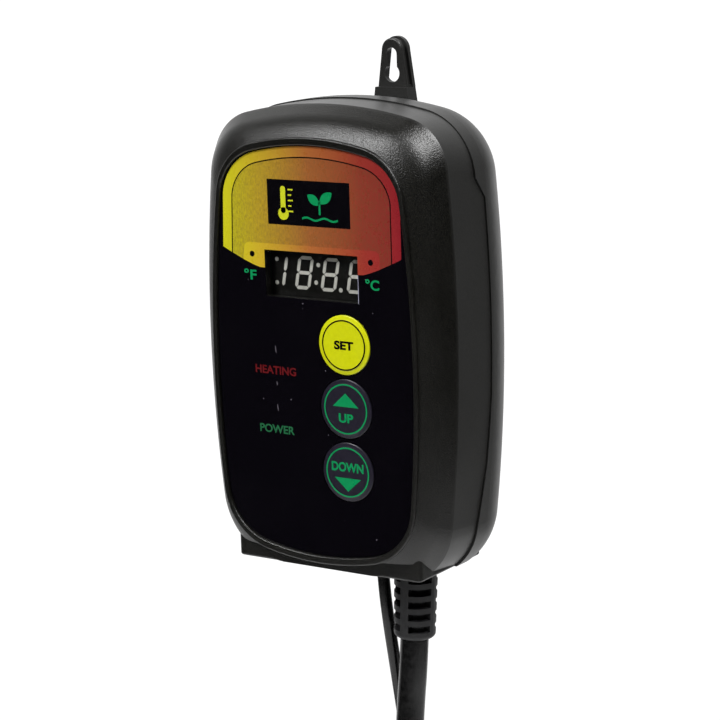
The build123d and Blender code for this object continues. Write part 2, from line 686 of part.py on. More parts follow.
def cord_stub():
    """The mains cord's jacket inside the case, up to where its wires fan out."""
    return along_z(*RELIEF, CORD_R - 0.05, FOOT_Z + WALL + 2.0, STUB_TOP)


def cord_clamp():
    x, z = (CLAMP_SCREWS[0][0] + CLAMP_SCREWS[1][0]) / 2, CLAMP_SCREWS[0][1]
    front = RELIEF[1] + CORD_R + 0.3
    clamp = frame_at(x, z, 19.5, 5.0, 1.5, front, front + 2.6)
    for screw_x, screw_z in CLAMP_SCREWS:
        clamp -= along_y(screw_x, screw_z, 1.25, front - 1, front + 5)
    return clamp


def probe_lead():
    """The probe's own lead inside the case, up to its socket."""
    x, y = GROMMET
    top = CONTROL_Y + BOARD + 2.2
    route = [(x, y, FOOT_Z + WALL + 1.4), (x, y, -40.0), (x, top, -37.5), (x, top, -33.5)]
    return bent_tube(route, 1.2, 1.6)


# ---- free cords, row frame ----
def cord_tube(route, radius):
    """A cord's tube: every bend is as large as its two straight runs allow."""
    points = [Vector(*p) for p in route]
    runs = [b - a for a, b in zip(points, points[1:])]
    radii = []
    for before, after in zip(runs, runs[1:]):
        turn = radians(before.get_angle(after))
        radii.append(0.45 * min(before.length, after.length) / tan(turn / 2))
    path = FilletPolyline(*points, radius=radii)
    start = Plane(origin=path @ 0, z_dir=path % 0)
    tube = sweep(start * Circle(radius), path=path)
    section = Circle(radius).area
    print(f"cord: tightest bend {min(radii):.1f} mm ({min(radii) / (2 * radius):.1f} d), "
          f"length {path.length:.1f} mm, volume ratio {tube.volume / (section * path.length):.4f}")
    return tube


def coil_ring(centre, turn_r, rings, layers, cord_r):
    """Outer shape of a flat coil that hangs against the wall."""
    half_wide = rings * cord_r
    thick = 2 * layers * cord_r
    ring = Cylinder(turn_r + half_wide, thick) - Cylinder(turn_r - half_wide, thick)
    ring = fillet(ring.edges(), cord_r * 0.8)
    return Pos(*centre) * Rot(90, 0, 0) * ring


def coil_ties(centre, turn_r, rings, layers, cord_r, angles, wide):
    """Narrow bands around the whole bundle of turns."""
    half_wide, half_thick = rings * cord_r + 0.15, layers * cord_r + 0.15
    band_thick = 1.0
    hole = Box(2 * half_wide, 2 * half_thick, 3 * wide)
    band = Box(2 * (half_wide + band_thick), 2 * (half_thick + band_thick), wide)
    band = fillet(band.edges().filter_by(Axis.Z), 1.2) - hole
    head = Pos(half_wide + 2.2, 0, 0) * Box(2.8, 4.5, wide + 1.0)
    tie = Pos(turn_r, 0, 0) * (band + head)
    return group([Pos(*centre) * Rot(0, -angle, 0) * tie for angle in angles])


# ---- plug with a socket on its back, row frame ----
PLUG_X, PLUG_Y, RELIEF_START_Z = MAINS_TAIL[-1]
PLUG_BLADE_FACE, PLUG_OUTLET_FACE = PLUG_X - PLUG_DEEP / 2, PLUG_X + PLUG_DEEP / 2
OUTLET_PLATE = 2.5
BLADE_Z = PLUG_TOP_Z - 17.0
GROUND_Z = BLADE_Z - GROUND_DROP
SLOTS = ((-BLADE_SPACING / 2, 8.4), (BLADE_SPACING / 2, 6.9))
SLOT_WIDE, SOCKET_DEEP, EARTH_R = 2.2, 17.0, 2.6


def along_x(y, z, radius, low, high):
    return Pos((low + high) / 2, y, z) * Rot(0, 90, 0) * Cylinder(radius, high - low)


def socket_holes():
    """Two upright slots and a round earth hole, from the outlet's face inwards."""
    inner, outer = PLUG_OUTLET_FACE - SOCKET_DEEP, PLUG_OUTLET_FACE + 1
    slots = [block(inner, outer, PLUG_Y + dy - SLOT_WIDE / 2, PLUG_Y + dy + SLOT_WIDE / 2,
                   BLADE_Z - tall / 2, BLADE_Z + tall / 2) for dy, tall in SLOTS]
    return joined(slots + [along_x(PLUG_Y, GROUND_Z, EARTH_R, inner, outer)])


def contact_wells():
    """Wider wells behind the socket's face, which hold the sprung contacts."""
    inner, outer = PLUG_OUTLET_FACE - SOCKET_DEEP, PLUG_OUTLET_FACE - OUTLET_PLATE
    wells = [block(inner, outer, PLUG_Y + dy - 2.2, PLUG_Y + dy + 2.2, BLADE_Z - 4.6, BLADE_Z + 4.6)
             for dy, _ in SLOTS]
    return joined(wells + [along_x(PLUG_Y, GROUND_Z, 3.6, inner, outer)])


def plug_outline():
    return Pos(PLUG_Y, PLUG_TOP_Z - PLUG_LONG / 2) * RectangleRounded(PLUG_WIDE, PLUG_LONG, 8.0)


def plug_slab(low, high):
    return extrude(Plane.YZ.offset(low) * plug_outline(), amount=high - low)


def plug_body():
    """Moulded body: blades on one side, a socket on the other, the cord from above."""
    body = plug_slab(PLUG_BLADE_FACE, PLUG_OUTLET_FACE - OUTLET_PLATE)
    body = fillet(body.faces().sort_by(Axis.X)[0].edges(), 2.5)
    relief_long = RELIEF_START_Z - PLUG_TOP_Z + 1.0
    sleeve = Cone(7.2, 5.0, relief_long)
    for row in range(4):
        sleeve -= Pos(0, 0, 3.5 * row - 4.5) * (Cylinder(12, 1.6) - Cylinder(4.8, 1.6) - Box(30, 2.4, 2))
    body += Pos(PLUG_X - OUTLET_PLATE / 2, PLUG_Y, RELIEF_START_Z - relief_long / 2) * sleeve
    return body - contact_wells() - plug_blades() - ground_pin()


def outlet_plate():
    """Hard face of the socket."""
    plate = plug_slab(PLUG_OUTLET_FACE - OUTLET_PLATE, PLUG_OUTLET_FACE)
    plate = fillet(plate.faces().sort_by(Axis.X)[-1].edges(), 1.2)
    return plate - socket_holes()


def plug_blades():
    tip, root = PLUG_BLADE_FACE - BLADE_LONG, PLUG_BLADE_FACE + 7.0
    blades = []
    for dy in (-BLADE_SPACING / 2, BLADE_SPACING / 2):
        blade = block(tip, root, PLUG_Y + dy - BLADE_THICK / 2, PLUG_Y + dy + BLADE_THICK / 2,
                      BLADE_Z - BLADE_WIDE / 2, BLADE_Z + BLADE_WIDE / 2)
        blade = chamfer(blade.faces().sort_by(Axis.X)[0].edges(), 0.5)
        blades.append(blade - along_y(tip + 4.0, BLADE_Z, 1.55, PLUG_Y - 20, PLUG_Y + 20))
    return group(blades)


def ground_pin():
    tip = PLUG_BLADE_FACE - GROUND_LONG
    pin = along_x(PLUG_Y, GROUND_Z, GROUND_R, tip + GROUND_R, PLUG_BLADE_FACE)
    root = along_x(PLUG_Y, GROUND_Z, GROUND_R - 0.6, PLUG_BLADE_FACE, PLUG_BLADE_FACE + 7.0)
    return pin + root + Pos(tip + GROUND_R, PLUG_Y, GROUND_Z) * Sphere(GROUND_R)


def outlet_contacts():
    """Brass contacts: a folded pair of leaves per slot and a split sleeve for the earth pin."""
    inner, outer = PLUG_OUTLET_FACE - SOCKET_DEEP, PLUG_OUTLET_FACE - OUTLET_PLATE - 0.5
    contacts = []
    for dy, _ in SLOTS:
        leaf = block(inner, outer, PLUG_Y + dy - 2.1, PLUG_Y + dy + 2.1, BLADE_Z - 3.2, BLADE_Z + 3.2)
        contacts.append(leaf - block(inner + 0.8, outer + 1, PLUG_Y + dy - 1.2, PLUG_Y + dy + 1.2,
                                     BLADE_Z - 5, BLADE_Z + 5))
    sleeve = along_x(PLUG_Y, GROUND_Z, 3.5, inner, outer)
    sleeve -= along_x(PLUG_Y, GROUND_Z, EARTH_R, inner + 0.8, outer + 1)
    contacts.append(sleeve - block(inner + 2, outer + 1, PLUG_Y - 0.4, PLUG_Y + 0.4, GROUND_Z, GROUND_Z + 5))
    return group(contacts)


# ---- probe, row frame ----
def probe_sleeve():
    """Shrink sleeve between the cable and the steel tip."""
    x, y, top = PROBE_TAIL[-1]
    sleeve = along_z(x, y, SLEEVE_R, top - SLEEVE_LONG, top)
    return fillet(sleeve.edges().filter_by(GeomType.CIRCLE), 0.4)


def probe_tip():
    x, y, top = PROBE_TAIL[-1]
    top -= SLEEVE_LONG
    tube = along_z(x, y, TIP_R, top - TIP_LONG + TIP_R, top)
    return tube + Pos(x, y, top - TIP_LONG + TIP_R) * Sphere(TIP_R)


def per_button(make):
    return group([make(z) for z in button_places().values()])


def lamps(chosen):
    return group([led(x, z, radius) for x, z, radius in led_places() if chosen(radius)])


def case_screws():
    return group([screw(x, z, 31.0, 2.9, 2.2, 1.45, 17.0) for x, z in CASE_SCREWS])


def board_screws(places, head_y, shank_long, towards):
    """Small screws; on the front shell's posts they point forwards, on the back shell's back."""
    return group([screw(x, z, head_y, 2.1, 1.5, 0.95, shank_long, towards) for x, z in places])


CLAMP_BACK = RELIEF[1] + CORD_R + 0.3 + 2.6

CASE_NODES = {
    "front_shell": front_shell,
    "back_shell": back_shell,
    "hanging_tab": hanging_tab,
    "case_screws": case_screws,
    "front_label": front_label,
    "display_window": display_window,
    "display_module": display_module,
    "display_bars": display_bars,
    "switch_bases": lambda: per_button(switch_base),
    "status_lamps": lambda: lamps(lambda radius: radius > 1),
    "unit_lamps": lambda: lamps(lambda radius: radius < 1),
    "lamp_legs": lambda: group([leg for x, z, _ in led_places() for leg in led_legs(x, z)]),
    "control_board": control_board,
    "control_board_screws": lambda: board_screws(CONTROL_SCREWS, CONTROL_Y + BOARD, 6.5, -1),
    "controller_chip": controller_chip,
    "link_sockets": link_sockets,
    "link_ribbon": link_ribbon,
    "probe_socket": probe_socket,
    "probe_lead": probe_lead,
    "power_board": power_board,
    "power_board_screws": lambda: board_screws(POWER_SCREWS, POWER_Y, 7.0, +1),
    "relay": relay,
    "transformer_core": transformer_core,
    "transformer_coil": transformer_coil,
    "supply_capacitors": supply_capacitors,
    "film_capacitor": film_capacitor,
    "surge_disc": surge_disc,
    "fuse_tube": fuse_tube,
    "fuse_caps": fuse_caps,
    "terminal_block": terminal_block,
    "terminal_screws": terminal_screws,
    "conductors": conductors,
    "strain_relief": strain_relief,
    "cord_stub": cord_stub,
    "cord_clamp": cord_clamp,
    "cord_clamp_screws": lambda: board_screws(CLAMP_SCREWS, CLAMP_BACK, 8.0, -1),
    "probe_grommet": probe_grommet,
}
ROW_NODES = {
    "mains_cord": lambda: cord_tube(MAINS_ROUTE, CORD_R),
    "mains_coil": lambda: coil_ring(MAINS_COIL, MAINS_TURN_R, MAINS_RINGS, MAINS_LAYERS, CORD_R),
    "mains_tail": lambda: cord_tube(MAINS_TAIL, CORD_R),
    "mains_ties": lambda: coil_ties(MAINS_COIL, MAINS_TURN_R, MAINS_RINGS, MAINS_LAYERS, CORD_R,
                                    (100.0, 250.0), 4.8),
    "plug_body": plug_body,
    "outlet_plate": outlet_plate,
    "plug_blades": plug_blades,
    "ground_pin": ground_pin,
    "outlet_contacts": outlet_contacts,
    "probe_cable": lambda: cord_tube(PROBE_ROUTE, PROBE_R),
    "probe_coil": lambda: coil_ring(PROBE_COIL, PROBE_TURN_R, PROBE_RINGS, PROBE_LAYERS, PROBE_R),
    "probe_tail": lambda: cord_tube(PROBE_TAIL, PROBE_R),
    "probe_tie": lambda: coil_ties(PROBE_COIL, PROBE_TURN_R, PROBE_RINGS, PROBE_LAYERS, PROBE_R,
                                   (100.0,), 3.2),
    "probe_sleeve": probe_sleeve,
    "probe_tip": probe_tip,
}

os.makedirs("parts", exist_ok=True)
for node, make in CASE_NODES.items():
    keep_case(node, make())
for button, height in button_places().items():
    keep_case(f"{button}_button", button_cap(height))
    keep_case(f"{button}_plunger", switch_plunger(height))
for node, make in ROW_NODES.items():
    keep(node, make())
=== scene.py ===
import math

import bmesh
import bpy
from mathutils import Matrix, Vector
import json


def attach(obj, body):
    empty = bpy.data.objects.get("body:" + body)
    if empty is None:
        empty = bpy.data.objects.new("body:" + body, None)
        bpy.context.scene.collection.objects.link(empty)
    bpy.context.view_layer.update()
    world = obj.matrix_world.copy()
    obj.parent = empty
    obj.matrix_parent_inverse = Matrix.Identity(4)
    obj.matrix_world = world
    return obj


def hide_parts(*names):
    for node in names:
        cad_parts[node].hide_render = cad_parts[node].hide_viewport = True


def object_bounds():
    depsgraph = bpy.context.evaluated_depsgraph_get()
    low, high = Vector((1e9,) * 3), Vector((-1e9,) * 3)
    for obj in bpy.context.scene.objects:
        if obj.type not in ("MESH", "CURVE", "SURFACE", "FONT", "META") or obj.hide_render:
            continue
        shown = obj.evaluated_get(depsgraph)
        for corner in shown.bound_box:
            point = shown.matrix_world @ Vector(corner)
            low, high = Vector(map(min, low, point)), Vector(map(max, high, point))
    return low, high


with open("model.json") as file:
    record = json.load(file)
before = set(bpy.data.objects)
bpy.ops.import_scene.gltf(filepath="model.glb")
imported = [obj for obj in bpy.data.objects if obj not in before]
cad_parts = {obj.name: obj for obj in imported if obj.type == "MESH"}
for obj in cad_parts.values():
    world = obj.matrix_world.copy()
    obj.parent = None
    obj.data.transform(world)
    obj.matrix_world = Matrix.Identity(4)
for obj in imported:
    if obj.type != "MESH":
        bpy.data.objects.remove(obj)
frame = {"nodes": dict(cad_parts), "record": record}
cad_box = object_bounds()

MM = 0.001
NODES = frame["nodes"]

# The case is described in its face frame, in millimetres: x to the viewer's right, depth back from
# the label's face, z up from the centre of the middle key.  The cords use the row frame, in metres.
FACE_Y, FACE_Z = -42.9, -85.0
# A printed layer stands this far in front of the surface that it lies on, and starts this far behind it.
PRINT_PROUD, PRINT_DEEP = 0.02, 0.03


def face(x, z, depth=0.0):
    return Vector((x, depth + FACE_Y, z + FACE_Z)) * MM


# ---- meshes ----
def add_object(name, data, body="case", slot=None, material=None):
    piece = bpy.data.objects.new(name, data)
    bpy.context.scene.collection.objects.link(piece)
    if material:
        data.materials.append(material)
    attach(piece, body)
    return piece


def prism(mesh, outline, front, back):
    """Adds a closed flat shape to a bmesh, between two depths behind the label's face."""
    ends = [[mesh.verts.new(face(x, z, depth)) for x, z in outline] for depth in (front, back)]
    mesh.faces.new(ends[0])
    mesh.faces.new(list(reversed(ends[1])))
    count = len(outline)
    for i in range(count):
        j = (i + 1) % count
        mesh.faces.new((ends[0][j], ends[0][i], ends[1][i], ends[1][j]))


def ribbon(mesh, outer, inner, front, back):
    """Adds a closed ring between two outlines with the same number of points."""
    loops = [[mesh.verts.new(face(x, z, depth)) for x, z in outline]
             for outline in (outer, inner) for depth in (front, back)]
    outer_front, outer_back, inner_front, inner_back = loops
    count = len(outer)
    for i in range(count):
        j = (i + 1) % count
        for a, b in ((outer_front, inner_front), (inner_front, inner_back),
                     (inner_back, outer_back), (outer_back, outer_front)):
            mesh.faces.new((a[i], a[j], b[j], b[i]))


def finished(mesh, name, **where):
    bmesh.ops.recalc_face_normals(mesh, faces=mesh.faces)
    data = bpy.data.meshes.new(name)
    mesh.to_mesh(data)
    mesh.free()
    return add_object(name, data, **where)


def inlay(name, outlines, proud=PRINT_PROUD, level=0.0, **where):
    """Thin printed shapes on a surface that lies at a given depth."""
    mesh = bmesh.new()
    for outline in outlines:
        prism(mesh, outline, level - proud, level + PRINT_DEEP)
    return finished(mesh, name, **where)


def ring_inlay(name, outer, inner, level, **where):
    mesh = bmesh.new()
    ribbon(mesh, outer, inner, level - PRINT_PROUD, level + PRINT_DEEP)
    return finished(mesh, name, **where)


def arc(cx, cz, radius, start, end, steps=24):
    angles = [math.radians(start + (end - start) * i / steps) for i in range(steps + 1)]
    return [(cx + radius * math.cos(a), cz + radius * math.sin(a)) for a in angles]


def disc(cx, cz, radius, steps=64):
    return arc(cx, cz, radius, 0, 360 - 360 / steps, steps - 1)


def lettering(name, text, x, z, height, width, bold, level=0.0, **where):
    """Raised print, centred on (x, z), scaled to a height and a width."""
    curve = bpy.data.curves.new(name, "FONT")
    curve.body = text
    curve.offset = bold
    curve.extrude = PRINT_PROUD
    curve.align_x = "CENTER"
    source = bpy.data.objects.new(name, curve)
    bpy.context.scene.collection.objects.link(source)
    bpy.context.view_layer.update()
    data = bpy.data.meshes.new_from_object(source.evaluated_get(bpy.context.evaluated_depsgraph_get()))
    bpy.data.objects.remove(source)
    low = [min(v.co[i] for v in data.vertices) for i in range(2)]
    high = [max(v.co[i] for v in data.vertices) for i in range(2)]
    for v in data.vertices:
        u = ((v.co.x - low[0]) / (high[0] - low[0]) - 0.5) * width
        w = ((v.co.y - low[1]) / (high[1] - low[1]) - 0.5) * height
        v.co = face(x + u, z + w, level - PRINT_PROUD if v.co.z > 0 else level + PRINT_DEEP)
    return add_object(name, data, **where)


# ---- materials ----
class Recipe:
    """A material and short ways to add its nodes."""

    def __init__(self, name, **sockets):
        self.material = bpy.data.materials.new(name)
        self.material.use_nodes = True
        self.tree = self.material.node_tree
        self.shader = self.tree.nodes["Principled BSDF"]
        for label, value in sockets.items():
            self.shader.inputs[label.replace("_", " ")].default_value = value
        self.place = self.tree.nodes.new("ShaderNodeTexCoord").outputs["Object"]

    def node(self, kind, **settings):
        made = self.tree.nodes.new(kind)
        for key, value in settings.items():
            setattr(made, key, value)
        return made

    def link(self, source, target):
        self.tree.links.new(source, target)

    def stretched(self, scale):
        """The object's own coordinates, scaled per axis."""
        mapping = self.node("ShaderNodeMapping")
        mapping.inputs["Scale"].default_value = scale
        self.link(self.place, mapping.inputs["Vector"])
        return mapping.outputs["Vector"]

    def noise(self, scale, detail=3.0, roughness=0.55, vector=None):
        made = self.node("ShaderNodeTexNoise")
        made.inputs["Scale"].default_value = scale
        made.inputs["Detail"].default_value = detail
        made.inputs["Roughness"].default_value = roughness
        self.link(vector or self.place, made.inputs["Vector"])
        return made.outputs["Fac"]

    def range(self, source, low, high, to_low=0.0, to_high=1.0):
        made = self.node("ShaderNodeMapRange")
        for label, value in zip(("From Min", "From Max", "To Min", "To Max"), (low, high, to_low, to_high)):
            made.inputs[label].default_value = value
        self.link(source, made.inputs["Value"])
        return made.outputs["Result"]

    def ramp(self, source, *stops):
        made = self.node("ShaderNodeValToRGB")
        elements = made.color_ramp.elements
        while len(elements) < len(stops):
            elements.new(0.5)
        for element, (place, colour) in zip(elements, stops):
            element.position = place
            element.color = (*colour, 1.0)
        self.link(source, made.inputs["Fac"])
        return made.outputs["Color"]

    def maths(self, operation, a, b):
        made = self.node("ShaderNodeMath", operation=operation)
        for source, target in zip((a, b), made.inputs):
            self.link(source, target)
        return made.outputs["Value"]

    def mixed(self, share, a, b):
        """Mix of two colours, each a socket or a plain colour."""
        made = self.node("ShaderNodeMix", data_type="RGBA")
        factor, colour_a, colour_b = (made.inputs[i] for i in (0, 6, 7))
        self.link(share, factor)
        for value, target in ((a, colour_a), (b, colour_b)):
            if isinstance(value, tuple):
                target.default_value = (*value, 1.0)
            else:
                self.link(value, target)
        return made.outputs[2]

    def colour(self, source):
        self.link(source, self.shader.inputs["Base Color"])

    def roughness(self, source):
        self.link(source, self.shader.inputs["Roughness"])

    def bump(self, source, strength, distance):
        """Relief from a height between 0 and 1, at most `distance` metres deep."""
        made = self.node("ShaderNodeBump")
        made.inputs["Strength"].default_value = strength
        made.inputs["Distance"].default_value = distance
        self.link(source, made.inputs["Height"])
        self.link(made.outputs["Normal"], self.shader.inputs["Normal"])


def mottled(name, colour, spread=0.25, scale=400.0, rough=(0.35, 0.5), bump=0.15, grain=2500.0):
    """Moulded, dipped or painted stuff: slight colour variation, uneven gloss and a fine grain."""
    recipe = Recipe(name)
    dark = tuple(c * (1 - spread) for c in colour)
    light = tuple(min(c * (1 + spread), 1.0) for c in colour)
    patches = recipe.noise(scale, 4.0)
    recipe.colour(recipe.ramp(patches, (0.3, dark), (0.7, light)))
    recipe.roughness(recipe.range(patches, 0.3, 0.7, *rough))
    recipe.bump(recipe.noise(grain, 2.0), bump, 0.05 * MM)
    return recipe.material


# The crease round the front shell lies between these depths behind the label's face.
CREASE_START, CREASE_END = 8.6, 9.4


def shell_plastic():
    """Charcoal plastic: spark-eroded grain in front of the crease, finer on the side band and back."""
    recipe = Recipe("shell_plastic", Specular_IOR_Level=0.5)
    axes = recipe.node("ShaderNodeSeparateXYZ")
    recipe.link(recipe.place, axes.inputs["Vector"])
    front = recipe.range(axes.outputs["Y"], face(0, 0, CREASE_START).y, face(0, 0, CREASE_END).y, 1.0, 0.0)
    coarse = recipe.noise(3500.0, 1.0, 0.5)
    worn = recipe.noise(45.0, 3.0)
    speckle = recipe.ramp(coarse, (0.40, (0.0004, 0.0004, 0.0003)), (0.62, (0.008, 0.0076, 0.0055)))
    fine = recipe.noise(1900.0, 3.0)
    satin = recipe.ramp(fine, (0.32, (0.010, 0.010, 0.0095)), (0.72, (0.018, 0.0178, 0.0165)))
    recipe.colour(recipe.mixed(front, satin, speckle))
    uneven = recipe.range(worn, 0.3, 0.7, 0.0, 0.08)
    recipe.roughness(recipe.maths("ADD", uneven, recipe.range(front, 0.0, 1.0, 0.36, 0.30)))
    height = recipe.maths("MULTIPLY", coarse, recipe.range(front, 0.0, 1.0, 0.22, 1.0))
    recipe.bump(height, 0.7, 0.13 * MM)
    return recipe.material


def label_film():
    """Glossy dark film with faint specks of dust and fine scuffs."""
    recipe = Recipe("label_film", Specular_IOR_Level=0.45)
    dust = recipe.node("ShaderNodeTexVoronoi", feature="F1")
    dust.inputs["Scale"].default_value = 260.0
    recipe.link(recipe.place, dust.inputs["Vector"])
    near = recipe.range(dust.outputs["Distance"], 0.03, 0.055, 1.0, 0.0)
    rare = recipe.range(recipe.noise(90.0, 2.0), 0.51, 0.58)
    speck = recipe.maths("MULTIPLY", near, rare)
    recipe.colour(recipe.mixed(speck, (0.0022, 0.0017, 0.0032), (0.16, 0.15, 0.18)))
    recipe.roughness(recipe.range(recipe.noise(60.0, 3.0), 0.35, 0.7, 0.10, 0.20))
    return recipe.material


def warm_print(name, brushed, lift):
    """Yellow to red print; the brushed one carries fine dark streaks and specks."""
    recipe = Recipe(name, Specular_IOR_Level=0.4)
    axes = recipe.node("ShaderNodeSeparateXYZ")
    recipe.link(recipe.place, axes.inputs["Vector"])
    across = recipe.range(axes.outputs["X"], -30 * MM, 30 * MM)
    stops = ((0.0, (0.60, 0.60, 0.012)), (0.22, (0.56, 0.39, 0.022)), (0.5, (0.41, 0.13, 0.032)),
             (0.78, (0.31, 0.035, 0.024)), (1.0, (0.28, 0.012, 0.022)))
    tint = recipe.ramp(across, *[(place, tuple(c * lift for c in colour)) for place, colour in stops])
    if brushed:
        streaks = recipe.noise(1.0, 4.0, 0.7, recipe.stretched((2400.0, 2400.0, 900.0)))
        tint = recipe.mixed(recipe.range(streaks, 0.38, 0.70, 0.0, 0.62), tint, (0.13, 0.075, 0.025))
    recipe.colour(tint)
    recipe.roughness(recipe.range(recipe.noise(300.0), 0.3, 0.7, 0.24, 0.34))
    return recipe.material


def printed(name, colour, rough=0.3):
    recipe = Recipe(name, Specular_IOR_Level=0.4)
    dark = tuple(c * 0.93 for c in colour)
    recipe.colour(recipe.ramp(recipe.noise(900.0, 2.0), (0.3, dark), (0.65, colour)))
    recipe.roughness(recipe.range(recipe.noise(300.0), 0.3, 0.7, rough - 0.05, rough + 0.08))
    return recipe.material


def brushed_metal(name, colour, rough, along=(300.0, 6000.0, 6000.0)):
    recipe = Recipe(name, Metallic=1.0)
    streaks = recipe.noise(1.0, 3.0, 0.6, recipe.stretched(along))
    dark = tuple(c * 0.75 for c in colour)
    recipe.colour(recipe.ramp(streaks, (0.3, dark), (0.7, colour)))
    recipe.roughness(recipe.range(streaks, 0.3, 0.7, rough - 0.06, rough + 0.08))
    recipe.bump(streaks, 0.15, 0.03 * MM)
    return recipe.material


def clear(name, tint, rough, alpha=0.12):
    """Thin clear plastic or glass, which keeps only a little of its own colour."""
    recipe = Recipe(name, Alpha=alpha, Specular_IOR_Level=0.8)
    light = tuple(min(c * 1.2, 1.0) for c in tint)
    recipe.colour(recipe.ramp(recipe.noise(30.0), (0.3, tint), (0.7, light)))
    recipe.roughness(recipe.range(recipe.noise(200.0), 0.3, 0.7, rough, rough + 0.03))
    return recipe.material


def cord_jacket():
    """Black PVC with a lengthwise sheen and faint scuffs."""
    recipe = Recipe("cord_jacket", Specular_IOR_Level=0.4)
    scuffs = recipe.noise(700.0, 4.0, 0.6)
    recipe.colour(recipe.ramp(scuffs, (0.35, (0.0025, 0.0025, 0.0025)), (0.8, (0.009, 0.009, 0.009))))
    recipe.roughness(recipe.range(scuffs, 0.3, 0.7, 0.17, 0.27))
    recipe.bump(recipe.noise(1800.0, 2.0), 0.15, 0.04 * MM)
    return recipe.material


MATERIALS = {
    "shell": shell_plastic(),
    "screw_steel": brushed_metal("screw_steel", (0.5, 0.5, 0.52), 0.32),
    "label": label_film(),
    "window": clear("window_clear", (0.008, 0.008, 0.009), 0.04, 0.04),
    "display": mottled("display_face", (0.005, 0.005, 0.004), 0.35, 900.0, (0.3, 0.42)),
    "bars": mottled("display_bar", (0.62, 0.62, 0.56), 0.10, 1500.0, (0.3, 0.4)),
    "black_plastic": mottled("black_plastic", (0.012, 0.012, 0.012)),
    "key_yellow": printed("key_yellow", (0.64, 0.67, 0.004), 0.32),
    "key_dark": mottled("key_dark", (0.011, 0.009, 0.019), 0.2, 1200.0, (0.34, 0.44)),
    "lamp_lens": mottled("lamp_lens", (0.30, 0.30, 0.28), 0.1, 500.0, (0.2, 0.3)),
    "tinned_steel": brushed_metal("tinned_steel", (0.7, 0.7, 0.7), 0.3),
    "board": mottled("board_mask", (0.015, 0.11, 0.045), 0.3, 250.0, (0.25, 0.4)),
    "white_plastic": mottled("white_plastic", (0.62, 0.60, 0.54), 0.08),
    "ribbon": mottled("ribbon_cover", (0.30, 0.31, 0.33), 0.15),
    "relay_plastic": mottled("relay_plastic", (0.02, 0.08, 0.30), 0.15),
    "core_iron": brushed_metal("core_iron", (0.24, 0.24, 0.26), 0.5, (300.0, 300.0, 9000.0)),
    "coil_tape": mottled("coil_tape", (0.55, 0.42, 0.06), 0.12, 600.0, (0.3, 0.45)),
    "capacitor_sleeve": mottled("capacitor_sleeve", (0.02, 0.02, 0.05), 0.2),
    "film_box": mottled("film_box", (0.50, 0.36, 0.06), 0.15),
    "surge_coat": mottled("surge_coat", (0.015, 0.06, 0.30), 0.15, 500.0, (0.2, 0.3)),
    "fuse_glass": clear("fuse_glass", (0.55, 0.58, 0.58), 0.03),
    "brass_parts": brushed_metal("brass_parts", (0.72, 0.56, 0.26), 0.28, (5000.0, 5000.0, 500.0)),
    "terminal_plastic": mottled("terminal_plastic", (0.03, 0.22, 0.08), 0.15),
    "wire_cover": mottled("wire_cover", (0.30, 0.30, 0.30), 0.15),
    "relief_rubber": mottled("relief_rubber", (0.012, 0.012, 0.013), 0.35, 500.0, (0.45, 0.6), 0.3, 1800.0),
    "cord_rubber": cord_jacket(),
    "tie_plastic": mottled("tie_plastic", (0.015, 0.015, 0.015), 0.3, 700.0, (0.35, 0.5)),
    "plug_rubber": mottled("plug_rubber", (0.014, 0.014, 0.015), 0.3, 500.0, (0.42, 0.58), 0.3, 1800.0),
    "plug_face": mottled("plug_face", (0.018, 0.018, 0.019), 0.25, 700.0, (0.35, 0.5)),
    "tip_steel": brushed_metal("tip_steel", (0.62, 0.62, 0.64), 0.25, (6000.0, 6000.0, 300.0)),
}
SLOT_OF = {part["node"]: part["material_slot"] for part in frame["record"]["subparts"]}
for node, piece in NODES.items():
    piece.data.materials.clear()
    piece.data.materials.append(MATERIALS[SLOT_OF[node]])

# ---- print on the label, face frame in millimetres ----
# Half width, ends, the radii of the arched ends and bowed sides, and the height of the sides' centres.
LABEL = {"half": 31.6, "top": 69.9, "bottom": -41.7, "arch": 78.0, "side": 350.0, "side_mid": 10.0}
TOP_CORNER, BOTTOM_CORNER, LEAST_CORNER = 14.0, 16.0, 2.0


def corner_centre(side_x, side_z, side_r, arch_z, arch_r, sign):
    """Centre of the corner circle that touches the side's circle and the arch's circle."""
    dx, dz = -side_x, arch_z - side_z
    apart = math.hypot(dx, dz)
    reach = (side_r**2 - arch_r**2 + apart**2) / (2 * apart)
    half = math.sqrt(max(side_r**2 - reach**2, 0.0))
    foot = (side_x + dx / apart * reach, side_z + dz / apart * reach)
    across = (-dz / apart * half, dx / apart * half)
    both = [(foot[0] + k * across[0], foot[1] + k * across[1]) for k in (1, -1)]
    return max(both, key=lambda p: p[0] + sign * p[1])


def label_outline(inset, steps=16):
    """The label's outline moved inwards: points from the bottom, up the right side, over and down."""
    arch, side = LABEL["arch"] - inset, LABEL["side"] - inset
    top_z = LABEL["top"] - LABEL["arch"]
    bottom_z = LABEL["bottom"] + LABEL["arch"]
    side_x = LABEL["half"] - LABEL["side"]
    right = []
    for arch_z, corner, sign in ((bottom_z, BOTTOM_CORNER, -1), (top_z, TOP_CORNER, 1)):
        small = max(corner - inset, LEAST_CORNER)
        cx, cz = corner_centre(side_x, LABEL["side_mid"], side - small, arch_z, arch - small, sign)
        at_arch = math.atan2(cz - arch_z, cx)
        at_side = math.atan2(cz - LABEL["side_mid"], cx - side_x)
        middle = math.pi / 2 * sign
        along_arch = [(arch * math.cos(t), arch_z + arch * math.sin(t))
                      for t in (middle + (at_arch - middle) * i / steps for i in range(steps))]
        corner_arc = [(cx + small * math.cos(t), cz + small * math.sin(t))
                      for t in (at_arch + (at_side - at_arch) * i / steps for i in range(steps + 1))]
        piece = along_arch + corner_arc
        right += piece if sign < 0 else list(reversed(piece))
    left = [(-x, z) for x, z in reversed(right[1:-1])]
    return right + left


